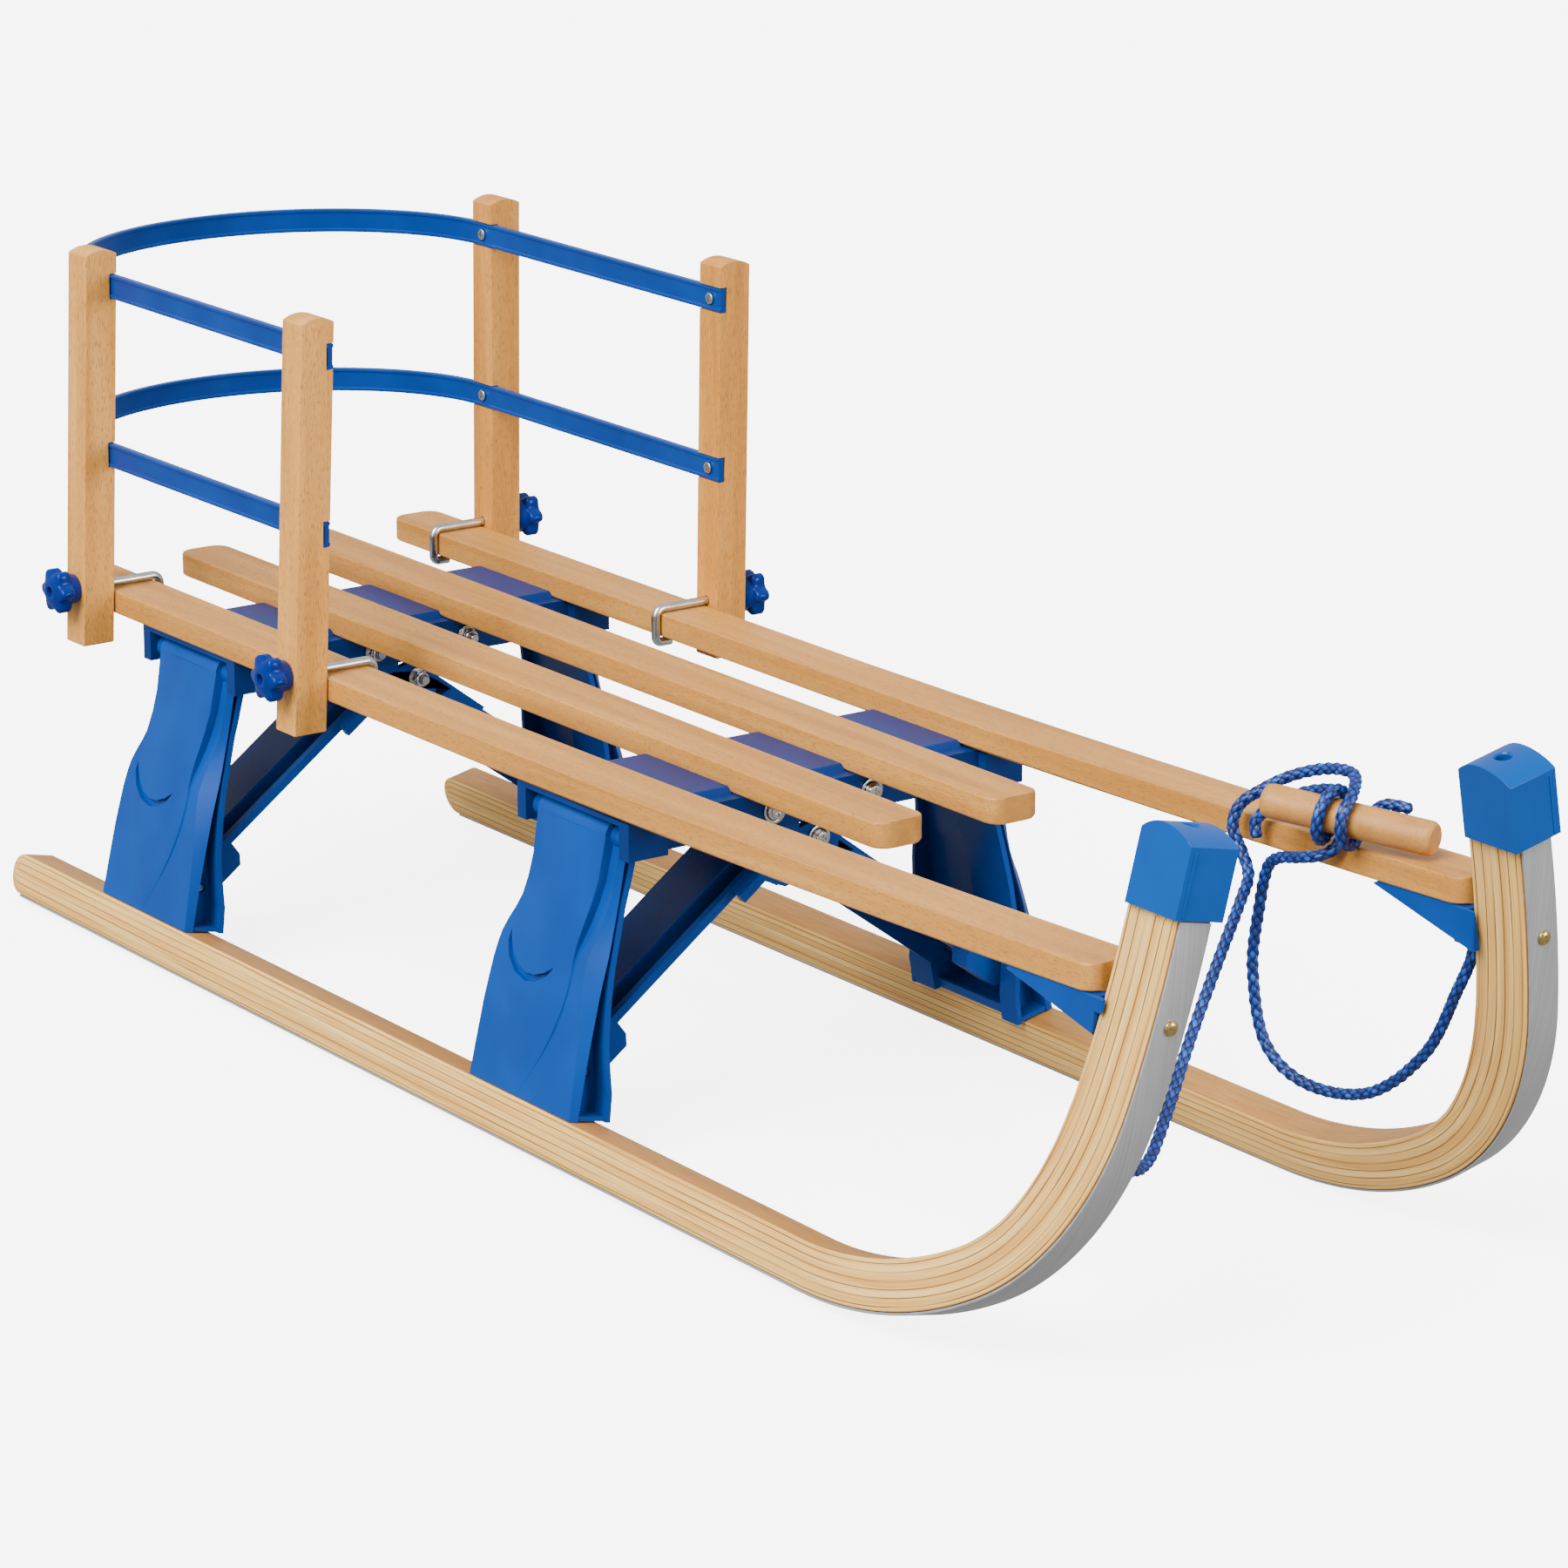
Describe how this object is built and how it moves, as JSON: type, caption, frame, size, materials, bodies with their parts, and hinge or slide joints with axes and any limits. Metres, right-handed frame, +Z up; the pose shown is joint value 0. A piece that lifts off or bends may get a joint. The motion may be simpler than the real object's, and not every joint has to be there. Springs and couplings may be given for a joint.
{
  "type": "wooden sled",
  "caption": "Folding wooden sled with laminated runners, slatted seat, blue plastic legs and braces, clamp-on child backrest and a blue pull rope with a wooden toggle.",
  "frame": {"origin": "centre of the footprint, on the ground under the runners", "axes": "+Z up, -Y toward the nose with the horns, +Y toward the rear, -X the rider's right"},
  "size_m": [0.3584, 1.1496, 0.4316],
  "materials": {
    "slats": "planed beech, clear varnish",
    "runners": "bent laminated wood, clear varnish",
    "runner_strips": "rolled steel strip, dull",
    "strip_screws": "yellow zinc plated screw",
    "horn_caps": "injection moulded, satin, bright blue",
    "moulded_frame": "injection moulded, satin, blue",
    "fasteners": "zinc plated steel",
    "bows": "bent plastic band, blue",
    "posts": "planed beech, clear varnish",
    "knobs": "injection moulded star knob, blue",
    "toggle": "turned beech, plain",
    "rope": "braided polypropylene, blue with light flecks"
  },
  "bodies": {
    "sled": {"left_outer_slat": "slats", "left_inner_slat": "slats", "right_outer_slat": "slats", "right_inner_slat": "slats", "left_runner": "runners", "right_runner": "runners", "left_runner_strip": "runner_strips", "right_runner_strip": "runner_strips", "left_strip_screw": "strip_screws", "right_strip_screw": "strip_screws", "left_horn_cap": "horn_caps", "right_horn_cap": "horn_caps", "left_horn_bracket": "moulded_frame", "right_horn_bracket": "moulded_frame", "front_left_leg": "moulded_frame", "front_right_leg": "moulded_frame", "rear_left_leg": "moulded_frame", "rear_right_leg": "moulded_frame", "front_left_half_bridge": "moulded_frame", "front_right_half_bridge": "moulded_frame", "rear_left_half_bridge": "moulded_frame", "rear_right_half_bridge": "moulded_frame", "front_left_brace": "moulded_frame", "front_right_brace": "moulded_frame", "rear_left_brace": "moulded_frame", "rear_right_brace": "moulded_frame", "front_left_hinge_pin": "fasteners", "front_right_hinge_pin": "fasteners", "rear_left_hinge_pin": "fasteners", "rear_right_hinge_pin": "fasteners", "front_left_foot_pin": "fasteners", "front_right_foot_pin": "fasteners", "rear_left_foot_pin": "fasteners", "rear_right_foot_pin": "fasteners", "front_right_bridge_bolt": "fasteners", "front_left_bridge_bolt": "fasteners", "front_crossing_bolt": "fasteners", "rear_right_bridge_bolt": "fasteners", "rear_left_bridge_bolt": "fasteners", "rear_crossing_bolt": "fasteners", "rear_right_bridge_nut": "fasteners", "rear_left_bridge_nut": "fasteners", "rear_crossing_nut": "fasteners", "toggle": "toggle", "right_rope": "rope", "left_rope": "rope"},
    "backrest": {"lower_bow": "bows", "upper_bow": "bows", "front_left_post": "posts", "front_right_post": "posts", "rear_left_post": "posts", "rear_right_post": "posts"},
    "front_left_knob": {"front_left_knob": "knobs"},
    "front_left_hook": {"front_left_hook": "fasteners"},
    "front_right_knob": {"front_right_knob": "knobs"},
    "front_right_hook": {"front_right_hook": "fasteners"},
    "rear_left_knob": {"rear_left_knob": "knobs"},
    "rear_left_hook": {"rear_left_hook": "fasteners"},
    "rear_right_knob": {"rear_right_knob": "knobs"},
    "rear_right_hook": {"rear_right_hook": "fasteners"}
  },
  "joints": [
    {"name": "backrest_slide", "type": "slide", "parent": "sled", "child": "backrest", "axis": [0, 1, 0], "range_m": [-0.025, 0.025]},
    {"name": "front_left_knob_turn", "type": "hinge", "parent": "backrest", "child": "front_left_knob", "pos_m": [0.1616, 0.1988, 0.2176], "axis": [1, 0, 0], "range_deg": [0, 3600]},
    {"name": "front_left_hook_slide", "type": "slide", "parent": "backrest", "child": "front_left_hook", "axis": [-1, 0, 0], "range_m": [0, 0.0101]},
    {"name": "front_right_knob_turn", "type": "hinge", "parent": "backrest", "child": "front_right_knob", "pos_m": [-0.1616, 0.1988, 0.2176], "axis": [-1, 0, 0], "range_deg": [0, 3600]},
    {"name": "front_right_hook_slide", "type": "slide", "parent": "backrest", "child": "front_right_hook", "axis": [1, 0, 0], "range_m": [0, 0.0101]},
    {"name": "rear_left_knob_turn", "type": "hinge", "parent": "backrest", "child": "rear_left_knob", "pos_m": [0.1616, 0.4523, 0.2176], "axis": [1, 0, 0], "range_deg": [0, 3600]},
    {"name": "rear_left_hook_slide", "type": "slide", "parent": "backrest", "child": "rear_left_hook", "axis": [-1, 0, 0], "range_m": [0, 0.0101]},
    {"name": "rear_right_knob_turn", "type": "hinge", "parent": "backrest", "child": "rear_right_knob", "pos_m": [-0.1616, 0.4523, 0.2176], "axis": [-1, 0, 0], "range_deg": [0, 3600]},
    {"name": "rear_right_hook_slide", "type": "slide", "parent": "backrest", "child": "rear_right_hook", "axis": [1, 0, 0], "range_m": [0, 0.0101]}
  ],
  "couplings": [
    {"joint": "front_left_hook_slide", "follows": "front_left_knob_turn", "m_per_rad": 0.00015915},
    {"joint": "front_right_hook_slide", "follows": "front_right_knob_turn", "m_per_rad": 0.00015915},
    {"joint": "rear_left_hook_slide", "follows": "rear_left_knob_turn", "m_per_rad": 0.00015915},
    {"joint": "rear_right_hook_slide", "follows": "rear_right_knob_turn", "m_per_rad": 0.00015915}
  ]
}
